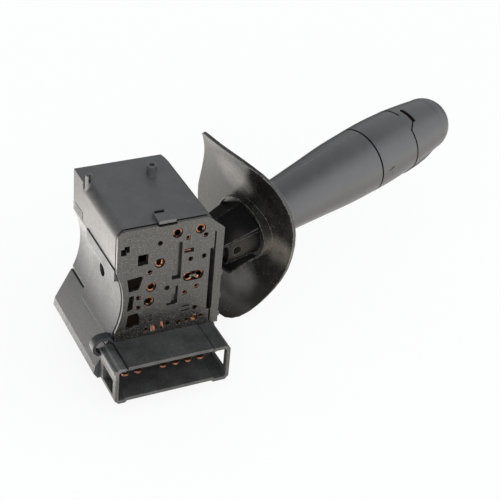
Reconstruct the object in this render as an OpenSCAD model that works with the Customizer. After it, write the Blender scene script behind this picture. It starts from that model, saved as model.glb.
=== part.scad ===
// Combination stalk switch for a steering column: lights, indicators, main beam and horn.
// Millimetres. X runs from the saddle that clears the column towards the stalk, Y from the
// contact plate towards the steering wheel, Z up. The origin is the foot of the round locating peg.

/* [Housing] */
// Width of the cover
cover_w = 35.7; // [35.2:0.1:36.4]
// How far the cover's wall beside the stalk stands out past its flat top
side_out = 2; // [1.8:0.1:2.2]
// Thickness of the cover's wall beside the stalk
side_wall = 1.6; // [1.4:0.1:1.7]
// Width of the contact plate, which reaches past the cover under the stalk's neck
plate_w = 42.4; // [41.8:0.1:43.4]
// Depth of the housing along the steering column
body_d = 47; // [46:0.5:50]
// Height from the underside of the foot to the cover's top
body_h = 64.5; // [64:0.1:66]
// Wall thickness of the housing's mouldings
wall = 2; // [1.8:0.1:2.2]
// Depth of the cover's skirt
skirt_h = 16.6; // [16:0.1:17.2]
// Rounding of the cover's long edge beside the saddle
edge_r = 4; // [3:0.25:5]
// Radius of the saddle that clears the steering column
saddle_r = 33; // [31:0.5:35]
// Depth of the saddle's deepest line below the cover's top
saddle_z = 31.5; // [31:0.1:32]
// How far the saddle's deepest line lies inside the cover's left wall
saddle_in = 2.9; // [2.5:0.1:3.2]
// Reach of the foot past the cover's left wall
foot_out = 8; // [7.5:0.1:8.5]
// Diameter of the round inspection hole in the saddle wall
side_hole_d = 5.2; // [4:0.1:6]

/* [Cover fittings] */
// Diameter of the round locating peg
peg_d = 4; // [3.4:0.1:4.6]
// Height of both pegs
peg_h = 4; // [3:0.5:6]
// Distance of the round peg from the cover's left wall
peg_x = 26.8; // [25:0.1:28]
// Distance of both pegs from the contact plate's face
peg_y = 34.7; // [33:0.1:35.5]
// Width of the latch tab
tab_w = 6.7; // [5:0.1:7]
// Thickness of the latch tab
tab_t = 1.5; // [1.2:0.1:2]

/* [Contact plate] */
// Height of the contact plate
plate_h = 49.6; // [49.2:0.1:49.8]
// Thickness of the plate's lip in front of the housing
lip_t = 1.2; // [1:0.1:1.4]
// Thickness of the whole plate
plate_t = 2.5; // [2.3:0.1:2.6]
// Width of the sloped corner above the stalk's neck
chamfer_w = 6.7; // [5.5:0.1:7]
// Height of the sloped corner
chamfer_h = 6; // [5:0.5:7]
// Radius of the small rivet holes
small_hole_r = 1.05; // [0.8:0.05:1.2]
// Radius of the large contact holes
large_hole_r = 2.1; // [1.8:0.05:2.3]

/* [Connector] */
// How far the connector stands in front of the contact plate
shroud_out = 15.9; // [14:0.1:18]
// Outer height of the connector between its side channels
shroud_h = 15.7; // [15.2:0.1:16]
// Width of the connector between its side channels
shroud_mid_w = 34.1; // [33.8:0.1:34.6]
// Width of each side channel
channel_w = 5.9; // [5.5:0.1:6.2]
// Wall thickness of the connector
shroud_wall = 1.4; // [1.2:0.1:1.6]
// Distance between neighbouring terminals
pin_pitch = 5.1; // [5:0.05:5.15]
// Width of a terminal blade
blade_w = 2.8; // [2.4:0.1:3]
// Thickness of the terminal strip
blade_t = 0.8; // [0.6:0.1:1]

/* [Stalk] */
// Angle of the stalk towards the steering wheel
stalk_yaw = 17.4; // [16.4:0.2:18.4]
// Angle of the stalk above level
stalk_pitch = 7; // [6:0.25:8]
// Distance from the pivot to the stalk's tip
stalk_l = 160.2; // [159:0.2:162]
// Distance from the pivot to the joint between handle and light sleeve
sleeve_s = 109.4; // [108:0.1:111]
// Distance from the pivot to the joint between light sleeve and horn cap
cap_s = 131.4; // [130.5:0.1:132.5]
// Factor on the handle's outline, 1 as measured
grip_scale = 1; // [0.98:0.01:1.04]
// Radius of the neck where it meets the shield
neck_r = 13; // [11.8:0.1:13]

/* [Shield] */
// Distance from the pivot to the shield's face on the stalk axis
shield_s = 45.4; // [45:0.1:46.4]
// Thickness of the shield
shield_t = 1.4; // [1.2:0.1:1.8]
// Radius of the shield's curve over its height
shield_r = 83; // [75:1:95]
// Radius of the shield's opposite curve over its width
shield_flare_r = 167; // [150:1:200]
// Outer radius of the shield's collar
collar_r = 13.9; // [13.7:0.1:14.6]

/* [Mechanism] */
// Indicator travel each way from the middle
indicator_deg = 14; // [10:1:14]
// Pull towards the wheel for main beam
beam_deg = 9; // [6:1:9]
// Travel of the horn cap
horn_travel = 0.5; // [0.4:0.1:0.8]
// Radial clearance of running fits
run_gap = 0.06; // [0.04:0.01:0.08]
// Gap between pieces that move past each other
move_gap = 0.3; // [0.25:0.05:0.4]
// Gap between mouldings that seat on each other
seat_gap = 0.15; // [0.1:0.05:0.2]
// Open joint between the contact plate's rim and the cover
rim_gap = 0.8; // [0.4:0.1:0.9]

/* [Hidden] */
$fn = 64;
TINY = 0.01;

// The pivot lies on the stalk axis, inside the housing
pivot_x = 24;
pivot_y = 15.2;
pivot_z = 16.5 - plate_h;

saddle_x = saddle_in - saddle_r;
flare_z = saddle_z + 15;
flare_x = saddle_x + sqrt(pow(saddle_r, 2) - pow(flare_z - saddle_z, 2));
foot_edge_z = body_h - 5.6;
foot_right = plate_w - 1;
floor_z = plate_h - 1.1;
base_front = lip_t + seat_gap;
cover_front = lip_t + rim_gap;
track_t = 0.5;
track_back = plate_t + track_t;

// Places pieces given in housing coordinates, where x and y start at the front left corner
module placed() {
    translate([-peg_x, -peg_y, 0])
        children();
}

// Moves to the pivot
module at_pivot() {
    translate([pivot_x, pivot_y, pivot_z])
        children();
}

// Turns to the stalk's own frame: X along the stalk, Z up, Y away from the contact plate
module on_stalk() {
    at_pivot()
        rotate([0, -stalk_pitch, stalk_yaw])
            children();
}

// Extrudes an outline drawn in x and z between two depths
module along_y(from, to) {
    translate([0, to, 0])
        rotate([90, 0, 0])
            linear_extrude(to - from)
                children();
}

// A box between two corners
module block(low, high) {
    translate(low)
        cube(high - low);
}

// A cylinder along Y between two depths
module rod_y(x, z, r, from, to) {
    translate([x, from, z])
        rotate([-90, 0, 0])
            cylinder(r = r, h = to - from);
}

// A cylinder along X between two stations
module rod_x(r, from, to) {
    translate([from, 0, 0])
        rotate([0, 90, 0])
            cylinder(r = r, h = to - from);
}

// A closed helical spring along X, with flat-wound ends
function coil_ring(r, wire, a, x, n) =
    [for (k = [0:n - 1]) let (b = 360 * k / n)
        [x + wire * sin(b), (r + wire * cos(b)) * cos(a), (r + wire * cos(b)) * sin(a)]];
module coil(r, wire, length, turns) {
    sides = 6;
    per_turn = 14;
    steps = turns * per_turn;
    rise = length - 2 * wire;
    points = [for (k = [0:steps]) each coil_ring(r, wire, 360 * k / per_turn, wire + rise * k / steps,
        sides)];
    walls = [for (k = [0:steps - 1], j = [0:sides - 1])
        [k * sides + j, (k + 1) * sides + j, (k + 1) * sides + (j + 1) % sides,
            k * sides + (j + 1) % sides]];
    ends = [[for (j = [0:sides - 1]) j], [for (j = [sides - 1:-1:0]) steps * sides + j]];
    polyhedron(points, concat(walls, ends), convexity = 6);
}

// Smooth value between the rows of a table of [place, value]
function row_at(t, x, i = 0) = (i >= len(t) - 2 || x < t[i + 1][0]) ? i : row_at(t, x, i + 1);
function slope_at(t, i) =
    let (a = max(i - 1, 0), b = min(i + 1, len(t) - 1)) (t[b][1] - t[a][1]) / (t[b][0] - t[a][0]);
function smooth(t, x) =
    let (i = row_at(t, x), h = t[i + 1][0] - t[i][0], u = (x - t[i][0]) / h)
    t[i][1] * (2 * u * u * u - 3 * u * u + 1) + slope_at(t, i) * h * (u * u * u - 2 * u * u + u)
    + t[i + 1][1] * (3 * u * u - 2 * u * u * u) + slope_at(t, i + 1) * h * (u * u * u - u * u);

// A smooth closed curve through a list of points
function wrap(p, i) = p[(i + len(p)) % len(p)];
function closed_curve(p, parts) =
    [for (i = [0:len(p) - 1], k = [0:parts - 1])
        let (u = k / parts, a = wrap(p, i - 1), b = p[i], c = wrap(p, i + 1), d = wrap(p, i + 2))
        0.5 * ((2 * b) + (c - a) * u + (2 * a - 5 * b + 4 * c - d) * u * u
        + (3 * b - a - 3 * c + d) * u * u * u)];

// Housing mouldings

// Outline of the column side: a circle that the left wall follows
module saddle_cut(grow, from, to) {
    rod_y(saddle_x, -saddle_z, saddle_r + grow, from, to);
}

// Outline of the base, seen from the front
module base_outline() {
    polygon([[0, -skirt_h], [cover_w, -skirt_h], [cover_w, -plate_h - 1], [foot_right, -plate_h - 1],
        [foot_right, -body_h], [-foot_out + 1.6, -body_h], [-foot_out, -body_h + 2.4],
        [-foot_out + 0.6, -foot_edge_z], [flare_x, -flare_z], [0, -flare_z]]);
}

// Space inside the base and cover that holds the mechanism
cavity_back = body_d - wall;
module cavity() {
    difference() {
        block([wall, -1, -floor_z], [cover_w - wall, cavity_back, 1]);
        saddle_cut(wall, -2, body_d);
    }
}

// Bearings of the yoke: a wide ring in front, a small bore behind
ring_y = [6, 8];
journal_r = 6.5;
journal_bore = 4.4;
cheek_t = 1.8;
front_cheek = [ring_y[1] + 0.2, ring_y[1] + 0.2 + cheek_t];
rear_cheek = [25, 25 + cheek_t];
rear_y = [rear_cheek[1] + 0.4, rear_cheek[1] + 3.9];
rear_pin_r = 3;
bearing_top = 9;

// Self-cancelling finger: pivots behind the yoke and reaches out of the back wall
cancel_x = 17;
cancel_z = pivot_z + 3.1;
cancel_pin_r = 1.6;
cancel_deg = 18;
cancel_arm = 8.5;
finger_r = 1.5;
finger_out = 5;

window_y = [13, 26.6];
window_z = [-pivot_z - 9.9, -pivot_z + 7.1];

// Walls that carry the yoke, with the guides of both contact sliders in front
slider_back = ring_y[0] - move_gap;
slider_half = 3.4;
beam_half = 4.6;
guide_gap = 0.2;
guide_t = 1.4;
module bearing_walls() {
    slide_x = pivot_x - drive_x;
    guide_x = slide_x - slider_half - guide_gap - guide_t;
    block([guide_x, ring_y[0], -floor_z - 0.5], [cover_w - 0.5, ring_y[1], pivot_z + bearing_top]);
    for (x = [guide_x, slide_x + slider_half + guide_gap])
        block([x, track_back + 0.4, pivot_z - 11], [x + guide_t, ring_y[0] + 0.5, pivot_z + bearing_top]);
    for (side = [-1, 1])
        block([pivot_x - beam_half, track_back + 0.4,
            pivot_z + side * (beam_half + guide_gap + guide_t / 2) - guide_t / 2],
            [pivot_x + 7, ring_y[0] + 0.5, pivot_z + side * (beam_half + guide_gap + guide_t / 2) + guide_t / 2]);
    block([cancel_x - 3.5, rear_y[0], -floor_z - 0.5], [pivot_x + 7, rear_y[1], pivot_z + 6]);
}

// Arc slot in the back wall for the self-cancelling finger
module cancel_slot() {
    translate([cancel_x, cavity_back - 1, cancel_z])
        rotate([-90, 0, 0])
            rotate([0, 0, 180 - cancel_deg - 2])
                rotate_extrude(angle = 2 * cancel_deg + 4)
                    translate([cancel_arm - finger_r - move_gap, 0])
                        square([2 * (finger_r + move_gap), wall + 3]);
    for (a = [-cancel_deg - 2, cancel_deg + 2])
        rod_y(cancel_x - cancel_arm * cos(a), cancel_z + cancel_arm * sin(a), finger_r + move_gap,
            cavity_back - 1, body_d + 1);
}

// Side rail and textured pad on the saddle wall
rail_z = [17.1, 21.9];
rail_out = 0.45;
pad_out = 0.35;
layer = 1;
module pad_section() {
    slope = [-foot_out + 0.6 - flare_x, -foot_edge_z + flare_z];
    out = [slope[1], -slope[0]] / norm(slope);
    top = [flare_x, -flare_z];
    intersection() {
        difference() {
            translate([saddle_x, -saddle_z])
                circle(r = saddle_r + layer, $fn = 128);
            translate([saddle_x, -saddle_z])
                circle(r = saddle_r - pad_out, $fn = 128);
        }
        translate([-5, -flare_z])
            square([10, flare_z - skirt_h]);
    }
    polygon([top + pad_out * out, top + slope + pad_out * out, top + slope - layer * out,
        top - layer * out]);
}

module rail_and_pad() {
    translate([-rail_out, base_front, -rail_z[1]])
        cube([wall, 31 - base_front, rail_z[1] - rail_z[0]]);
    intersection() {
        along_y(base_front, body_d)
            pad_section();
        translate([-foot_out, 0, 0])
            rotate([90, 0, 90])
                linear_extrude(foot_out + 5)
                    polygon([[base_front, -22.6], [33.5, -22.6], [35.1, -27.3], [35, -35], [32, -41.5],
                        [32.2, -46.8], [31, -48.5], [base_front, -48.3]]);
    }
}

// Hook of the base that loops over the connector's side rail
lug_y = [0, 3.6];
lug_r = 4.1;
lug_t = 1.3;
module loop_lug() {
    x = -4.5;
    z = -shroud_top - 1.5;
    top = z + lug_r;
    difference() {
        rod_y(x, z, lug_r, lug_y[0], lug_y[1]);
        rod_y(x, z, lug_r - lug_t, lug_y[0] - 1, lug_y[1] + 1);
        block([x, lug_y[0] - 1, z - lug_r - 1], [x + lug_r + 1, lug_y[1] + 1, top + 1]);
        block([x - lug_r - 1, lug_y[0] - 1, z - lug_r - 1], [x + 1, lug_y[1] + 1, z - 3.6]);
    }
    along_y(lug_y[0], lug_y[1])
        polygon([[x - TINY, top], [x + 2.8, top], [-seat_gap, top - 2.4], [-seat_gap, top - 3.8],
            [x + 2.1, top - lug_t], [x - TINY, top - lug_t]]);
}

shroud_back = -0.1;
flange_in = 6;
relief = 3;
shroud_top = plate_h - 0.7;

module base_housing() color("#8c8c8a") placed() {
    difference() {
        union() {
            difference() {
                along_y(base_front, body_d)
                    base_outline();
                saddle_cut(0, 0, body_d + 1);
                cavity();
                // Room behind the plate for the contact tracks
                block([wall, 0, -plate_h - 2], [foot_right + 1, track_back + 0.2, 1]);
                block([-seat_gap, 0, -plate_h - 2], [wall + 1, track_back + 0.2, -45.5]);
                // Shallow relief in the underside of the foot
                for (bay = [[-3.5, 11], [13, 25.5], [27.5, foot_right - wall]])
                    block([bay[0], flange_in + 3, -body_h - 1], [bay[1], body_d - wall, -body_h + relief]);
                // Pocket for the connector's rear flange and the terminals
                block([-3, 0, -body_h + 1.4], [foot_right - wall, flange_in + seat_gap, -floor_z - wall]);
            }
            difference() {
                bearing_walls();
                saddle_cut(wall, 0, body_d);
            }
            rail_and_pad();
            loop_lug();
            // Front of the foot, level with the contact plate
            difference() {
                along_y(0, base_front + TINY)
                    intersection() {
                        base_outline();
                        translate([-50, -body_h - 1])
                            square([100, body_h + 1 - plate_h - seat_gap]);
                    }
                block([-3, -1, -body_h + 1.4], [foot_right - wall, 3, -plate_h + 1]);
            }
            // Raised wall under the cover's corner block
            block([0, block_y, -skirt_h - 1], [wall, body_d - wall, -13.8]);
        }
        // Slot for the finger that drives the indicator slider
        block([pivot_x - drive_x - drive_r - 0.5, ring_y[0] - 1, pivot_z - 4.4],
            [pivot_x - drive_x + drive_r + 0.7, ring_y[1] + 1, pivot_z + 4.4]);
        rod_y(pivot_x, pivot_z, journal_r + run_gap, ring_y[0] - 1, ring_y[1] + 1);
        rod_y(pivot_x, pivot_z, rear_pin_r + run_gap, rear_y[0] - 1, rear_y[1] + 1);
        // Window for the stalk
        block([cover_w - wall - 1, window_y[0], -window_z[1]], [cover_w + 1, window_y[1], -window_z[0]]);
        // Inspection hole through the saddle wall
        translate([-foot_out, 21.2, -30.4])
            rotate([0, 90, 0])
                cylinder(d = side_hole_d, h = foot_out + 8);
        cancel_slot();
        // Seats of the cancelling finger's pin
        rod_y(cancel_x, cancel_z, cancel_pin_r, rear_y[0] + 1, body_d - 0.8);
    }
}

// Outline of the cover, and of the space inside it with an inset
side_x = cover_w + side_out;
side_slope = chamfer_h / chamfer_w;
module cover_outline(inset) {
    r = edge_r - inset;
    right = inset > 0 ? side_x - side_wall : side_x;
    shoulder = inset > 0 ? cover_w - inset / 2 : cover_w;
    low = -skirt_h - (inset > 0 ? 1 : 0);
    difference() {
        polygon([[inset, low], [inset, -inset], [shoulder, -inset],
            [right, -inset - (right - shoulder) * side_slope], [right, low]]);
        translate([inset, -inset - r])
            difference() {
                translate([-1, 0])
                    square([r + 1, r + 1]);
                translate([r, 0])
                    circle(r = r);
                translate([r, -1])
                    square([r + 1, r + 3]);
            }
    }
}

block_y = 36.9;
tab_x = 16.1;
module top_cover() color("#5a5b5c") placed() {
    difference() {
        union() {
            along_y(cover_front, body_d)
                cover_outline(0);
            // Square corner block at the back of the saddle side
            block([0, block_y, -skirt_h], [edge_r + 1, body_d, 0]);
            translate([peg_x, peg_y, -1])
                cylinder(d = peg_d, h = peg_h + 1);
            translate([1.5, peg_y, -edge_r])
                cylinder(r = 1.35, h = peg_h + edge_r);
            // Latch tab over the contact plate
            block([tab_x, 0.5, move_gap], [tab_x + tab_w, 7.2, tab_t]);
            block([tab_x, cover_front + 0.6, -TINY], [tab_x + tab_w, 7.2, tab_t - TINY]);
        }
        along_y(cover_front - 1, body_d - wall)
            cover_outline(wall);
        // Hollow tops of the pegs
        translate([peg_x, peg_y, peg_h - 2.2])
            cylinder(d = peg_d - 1.7, h = 3);
        translate([1.5, peg_y, peg_h - 3])
            cylinder(r = 0.75, h = 4);
        block([1, peg_y - 2, peg_h - 3], [2, peg_y, peg_h + 1]);
        // Slot behind the latch tab
        block([17.6, 8.3, -wall - 1], [21.6, 10.1, 1]);
        // Raised skirt below the corner block
        block([-1, block_y - 0.6, -skirt_h - 1], [wall + 0.5, body_d - wall, -13.5]);
        // Back right corner
        translate([side_x - 3, body_d - 3, -skirt_h - 1])
            difference() {
                cube([4, 4, skirt_h + 2]);
                cylinder(r = 3, h = skirt_h + 2);
            }
    }
}

// Contact plate

// The plate's openings are laid out on a sheet of this size and follow the plate's own size
sheet_w = 35.7;
sheet_h = 49.6;
function on_plate(p) = [p[0] * cover_w / sheet_w, p[1] * plate_h / sheet_h];

small_holes = [[16.7, -7.7], [13.1, -19.9], [9, -30.6], [9.1, -35.1], [27.8, -7.6], [34.8, -7.6],
    [29.3, -17.3], [34.7, -17.1], [32.4, -30.4], [27.7, -32.4], [32.3, -40.4], [12.7, -46.4], [26, -46.1],
    [29.4, -45.8], [35.2, -45.1]];
bare_holes = [[20.4, -28.6], [21.5, -45.3]];
large_holes = [[16.9, -16.5], [13.9, -26.8], [13.3, -33.1], [23.4, -4.6], [32.6, -4.6], [28.7, -25.2],
    [33, -25.2]];
lead_tabs = [[15.5, -46.1, 1.8, 3], [19.2, -45.7, 1.5, 3.2], [32.4, -45.1, 2.4, 2.6]];
faint_marks = [[5.7, -17.2], [27.7, -4.7], [34.9, -36.2], [19.3, -22.5], [18, -32.8], [23.2, -41.8],
    [14.1, -41.7]];
corner_r = 3;
inner_right = side_x - side_wall - seat_gap;
slot_x = plate_w - 5.3;
slot_w = 2.2;
step_x = slot_x + 1.4;
side_rib = 5;
mark_t = 0.12;
blind = plate_t - 0.25;

module plate_outline() {
    difference() {
        polygon([[0, 0], [plate_w - chamfer_w, 0], [plate_w, -chamfer_h], [plate_w, -plate_h], [0,
            -plate_h]]);
        difference() {
            translate([-1, -corner_r])
                square([corner_r + 1, corner_r + 1]);
            translate([corner_r, -corner_r])
                circle(r = corner_r);
        }
    }
}

// A cut with straight sides through the plate, or to a depth
module opening(low, high, depth = plate_t + 1) {
    a = on_plate(low);
    b = on_plate(high);
    block([a[0], -1, a[1]], [b[0], depth, b[1]]);
}

module window(points) {
    along_y(-1, plate_t + 1)
        polygon([for (p = points) on_plate(p)]);
}

module plate_rod(p, r, from, to) {
    c = on_plate(p);
    rod_y(c[0], c[1], r, from, to);
}

module contact_plate() color("#787673") placed() {
    difference() {
        union() {
            difference() {
                along_y(0, lip_t)
                    plate_outline();
                saddle_cut(0, -1, plate_t);
            }
            difference() {
                along_y(lip_t - TINY, plate_t)
                    polygon([[wall + seat_gap, -edge_r], [edge_r, -wall - seat_gap],
                        [cover_w - 2 * seat_gap - wall / 2, -wall - seat_gap],
                        [inner_right, -wall - 2 * seat_gap - side_out], [inner_right, -skirt_h - seat_gap],
                        [plate_w, -skirt_h - seat_gap], [plate_w, -plate_h], [wall + seat_gap, -plate_h]]);
                saddle_cut(wall + seat_gap, -1, plate_t + 1);
            }
            // Rib that closes the long slot behind
            block([cover_w + seat_gap, plate_t - TINY, -plate_h], [plate_w, side_rib, -skirt_h - seat_gap]);
            // Edge lugs beside the stalk's neck
            for (z = [27, 37.7, 46.3])
                block([plate_w - 1, 0.8, on_plate([0, -z])[1] - 1.2], [plate_w + 0.9, plate_t,
                    on_plate([0, -z])[1] + 1.2]);
            // Raised field and dot near the corner
            along_y(-mark_t, TINY)
                channel_outline(1.7, 10.6, -17.4, -2.7, 2);
            rod_y(5.3, -4.4, 0.6, -2 * mark_t, TINY);
        }
        for (p = small_holes)
            plate_rod(p, small_hole_r, -1, plate_t + 1);
        for (p = bare_holes)
            plate_rod(p, small_hole_r, -1, blind);
        for (p = large_holes)
            plate_rod(p, large_hole_r, -1, plate_t + 1);
        for (p = faint_marks)
            plate_rod(p, 1.3, -1, mark_t);
        for (p = lead_tabs)
            opening([p[0] - p[2] / 2 - seat_gap, p[1] - p[3] / 2 - seat_gap],
                [p[0] + p[2] / 2 + seat_gap, p[1] + p[3] / 2 + seat_gap]);
        // Notch below the latch tab
        block([tab_x - move_gap, -1, -0.55], [tab_x + tab_w + move_gap, lip_t + 1, 1]);
        // Square and stepped openings
        opening([8.1, -16], [12.3, -11.3]);
        opening([2.7, -9.1], [4.8, -6.3]);
        opening([1.4, -10.2], [3.6, -7.4]);
        // Windows beside the saddle
        window([[4.2, -21.4], [9.8, -20.9], [10.6, -21.7], [9.2, -26.7], [5.1, -27.3]]);
        window([[5.3, -29.4], [6.9, -29], [7.3, -29.9], [6.9, -35.4], [4.6, -36.1]]);
        window([[5.1, -37.9], [8.9, -37.4], [10, -40.6], [9.9, -43.2], [4, -44.6]]);
        // Long slot beside the neck
        block([slot_x, -1, -plate_h + 7.1], [slot_x + slot_w, side_rib - 0.8, -14.2]);
        block([step_x, -1, -14.3], [slot_x + slot_w, plate_t + 1, -6.8]);
        block([step_x - 0.2, -1, -plate_h + 1], [step_x + 0.5, side_rib - 0.8, -plate_h + 7.2]);
        // Stepped recess and the narrow blind slots near the middle
        opening([22, -25.2], [25.6, -8.8], 0.9);
        opening([24.6, -24.2], [25.7, -8.8], blind);
        opening([22, -25.3], [25.7, -24.1], blind);
        opening([23.8, -36.6], [24.9, -28.4], blind);
        opening([22.2, -36.2], [24, -31.9], 1.2);
        opening([20.4, -36.9], [23.9, -35.8], blind);
        for (z = [38.8, 40.8])
            opening([26.8, -z - 0.35], [30, -z + 0.35], blind);
        // Oblong contact opening and the small rectangular one
        opening([28.7, -25.2 - large_hole_r], [33, -25.2 + large_hole_r]);
        opening([26.5, -14.2], [30.4, -12.4]);
    }
}

// Stamped copper tracks with pads behind the plate's holes; a terminal blade is welded to each foot

terminal_z = -(plate_h + body_h) / 2 - 0.15;
terminal_tip = -10.4;
first_pin_x = 1;
track_w = 1.7;

// A strip between two points, with round ends
module strip(a, b) {
    d = b - a;
    translate([a[0], plate_t, a[1]])
        rotate([0, -atan2(d[1], d[0]), 0])
            translate([0, 0, -track_w / 2])
                cube([norm(d), track_t, track_w]);
    for (p = [a, b])
        rod_y(p[0], p[1], track_w / 2 + 0.12, plate_t, track_back);
}

module track(pin, route, pads, eyes) {
    x = first_pin_x + pin * pin_pitch;
    path = concat([[x, terminal_z], [x, -plate_h - 0.9]], [for (p = route) on_plate(p)]);
    difference() {
        union() {
            for (i = [0:len(path) - 2])
                strip(path[i], path[i + 1]);
            for (p = concat(pads, eyes))
                plate_rod(p, large_hole_r - 0.1, plate_t, track_back);
        }
        for (p = eyes)
            plate_rod(p, eye_r, plate_t - 1, track_back + 1);
    }
}

// Terminal blade with a rounded tip
module blade(pin) {
    translate([first_pin_x + pin * pin_pitch, 0, terminal_z - blade_t / 2])
        linear_extrude(blade_t)
            intersection() {
                translate([-blade_w / 2, terminal_tip - 1])
                    square([blade_w, plate_t - terminal_tip + 1]);
                union() {
                    translate([0, terminal_tip + 0.6 * blade_w])
                        circle(r = 0.6 * blade_w);
                    translate([-blade_w, terminal_tip + 0.6 * blade_w])
                        square([2 * blade_w, 20]);
                }
            }
}

used_pins = [0, 1, 3, 4, 5, 6];
module terminal_blades() color("#c8825f") placed() {
    for (pin = used_pins)
        blade(pin);
}

module contact_tracks() color("#c8825f") placed() {
    track(0, [[6.4, -46.5], [9.6, -45.3], [10.8, -43.5], [10.8, -38], [9.1, -35.1], [9, -30.6]], [], []);
    track(1, [[12.7, -46.4], [12.7, -40], [13.3, -33.1], [13.9, -26.8]], [], [[13.3, -33.1], [13.9,
        -26.8]]);
    track(3, [[17.3, -44], [17.3, -24], [13.1, -19.9], [16.9, -16.5], [16.7, -7.7]], [], [[16.9, -16.5]]);
    track(4, [[21.5, -45.3], [20.4, -40], [20.4, -12], [23.4, -4.6]], [], [[23.4, -4.6]]);
    track(5, [[26.2, -44], [27.7, -32.4], [28.7, -25.2], [28.4, -13.3], [27.8, -7.6]], [[28.4, -13.3]],
        [[28.7, -25.2]]);
    track(6, [[32.4, -45.3], [32.3, -40.4], [32.4, -30.4], [33, -25.2], [34.7, -17.1], [34.6, -7.6],
        [32.6, -4.6]],
        [], [[33, -25.2], [32.6, -4.6]]);
}

// Hollow rivet with a rounded rim
eye_r = 1.15;
rivet_bore = 0.66;
module hollow_rivet(p, r, bore, front) {
    c = on_plate(p);
    rim = (r - bore) / 2;
    translate([c[0], front + rim, c[1]])
        rotate([-90, 0, 0])
            rotate_extrude()
                translate([bore + rim, 0]) {
                    circle(r = rim, $fn = 24);
                    translate([-rim, 0])
                        square([2 * rim, plate_t - front - rim]);
                }
}

module contact_rivets() color("#c8825f") placed() {
    for (p = large_holes)
        hollow_rivet(p, large_hole_r - run_gap, eye_r, 0.3);
    for (p = small_holes)
        hollow_rivet(p, small_hole_r - run_gap, rivet_bore, 0.35);
    // Leads bent down towards the plug, with a sloping face
    for (p = lead_tabs) {
        c = on_plate([p[0], p[1]]);
        w = p[2] * cover_w / sheet_w;
        h = p[3] * plate_h / sheet_h;
        translate([c[0] - w / 2, 0, c[1] - h / 2])
            rotate([90, 0, 90])
                linear_extrude(w)
                    polygon([[0.1, 0], [plate_t, 0], [plate_t, h], [1.1, h]]);
    }
}

// Connector

module shroud_section(inset) {
    left = -0.3;
    right = left + shroud_mid_w;
    translate([left - (inset > 0 ? 1 : 0), -shroud_top - shroud_h + inset])
        square([shroud_mid_w + (inset > 0 ? 2 : 0), shroud_h - 2 * inset]);
    for (ends = [[left - channel_w + 0.8, left + 0.5], [right - 0.6, right + channel_w + 1.4]])
        channel_outline(ends[0] + inset, ends[1] - inset, -shroud_top - shroud_h - 0.8 + inset,
            -shroud_top - 0.3 - inset,
            inset > 0 ? 0.6 : 1.5);
}

// Side channel of the connector: a box with its corners taken off
module channel_outline(left, right, low, high, bevel) {
    polygon([[left + bevel, low], [right - bevel, low], [right, low + bevel], [right, high - bevel],
        [right - bevel, high], [left + bevel, high], [left, high - bevel], [left, low + bevel]]);
}

module connector_shroud() color("#3f4041") placed() {
    difference() {
        union() {
            along_y(-shroud_out, shroud_back)
                shroud_section(0);
            // Rear flange in the base's pocket
            block([-1, shroud_back - 0.5, -body_h + 2.5], [shroud_mid_w + 0.4, flange_in, -plate_h - 1.6]);
            // Half-round side rail and the thin rib beside it
            rod_y(-channel_w + 0.6, -shroud_top - 1.7, 0.8, -shroud_out, shroud_back);
            block([-channel_w + 2.1, -shroud_out, -shroud_top - 0.5], [-channel_w + 2.6, shroud_back,
                -shroud_top]);
        }
        along_y(-shroud_out - 1, -1.8)
            shroud_section(shroud_wall);
        // Windows in both ends
        block([-9, -shroud_out + 2.5, -shroud_top - shroud_h + 2.2], [-2, -3, -shroud_top - 6.7]);
        block([shroud_mid_w + 3.9, -shroud_out + 2.5, -shroud_top - shroud_h + 2.2],
            [shroud_mid_w + 8.9, -3, -shroud_top - 2.5]);
        // Slots for the terminals
        for (pin = used_pins)
            block([first_pin_x + pin * pin_pitch - blade_w / 2 - 0.05, -3, terminal_z - blade_t / 2 - 0.05],
                [first_pin_x + pin * pin_pitch + blade_w / 2 + 0.05, 7, terminal_z + blade_t / 2 + 0.05]);
        // Room for the upright part of the terminals
        block([-2, plate_t - 0.1, terminal_z - 1.2], [shroud_mid_w - 0.5, track_back + 0.1, -plate_h - 1]);
    }
}

// Sliding contacts behind the plate

slider_y = [track_back + 0.8, slider_back];
ball_r = 1.5;
ball_gap = 0.1;
beam_peg_l = 10.4;
drive_x = 10.5;
drive_r = 1.3;

module slider_bridge(x, z) {
    block([x - 2.2, track_back + 0.15, z - 0.7], [x + 2.2, slider_y[0] - 0.02, z + 0.7]);
}

module indicator_slider() color("#e4e0d2") placed() {
    x = pivot_x - drive_x;
    difference() {
        block([x - slider_half, slider_y[0], pivot_z - 6], [x + slider_half, slider_y[1], pivot_z + 6]);
        block([x - drive_r - 0.6, slider_y[0] - 1, pivot_z - drive_r - run_gap],
            [x + drive_r + 0.7, slider_y[1] + 1, pivot_z + drive_r + run_gap]);
    }
}

module indicator_bridges() color("#c8825f") placed() {
    for (z = [-4.4, 4.4])
        slider_bridge(pivot_x - drive_x, pivot_z + z);
}

module beam_slider() color("#e4e0d2") placed() {
    difference() {
        block([pivot_x - beam_half, slider_y[0], pivot_z - beam_half],
            [pivot_x + beam_half, slider_y[1], pivot_z + beam_half]);
        block([pivot_x - ball_r - ball_gap, slider_y[0] - 1, pivot_z - ball_r - 0.7],
            [pivot_x + ball_r + ball_gap, slider_y[1] + 1, pivot_z + ball_r + 0.7]);
    }
}

module beam_bridge() color("#c8825f") placed() {
    slider_bridge(pivot_x + 1.2, pivot_z - 3.4);
}

// Yoke: turns about the column's direction and carries the stalk

boss_r = 4.2;
boss_h = 8.5;
trunnion_r = 2.5;
bar_z = [boss_h + 0.2, boss_h + 2.6];
cheek_half = 6.8;
bar_half = 5.5;

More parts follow.
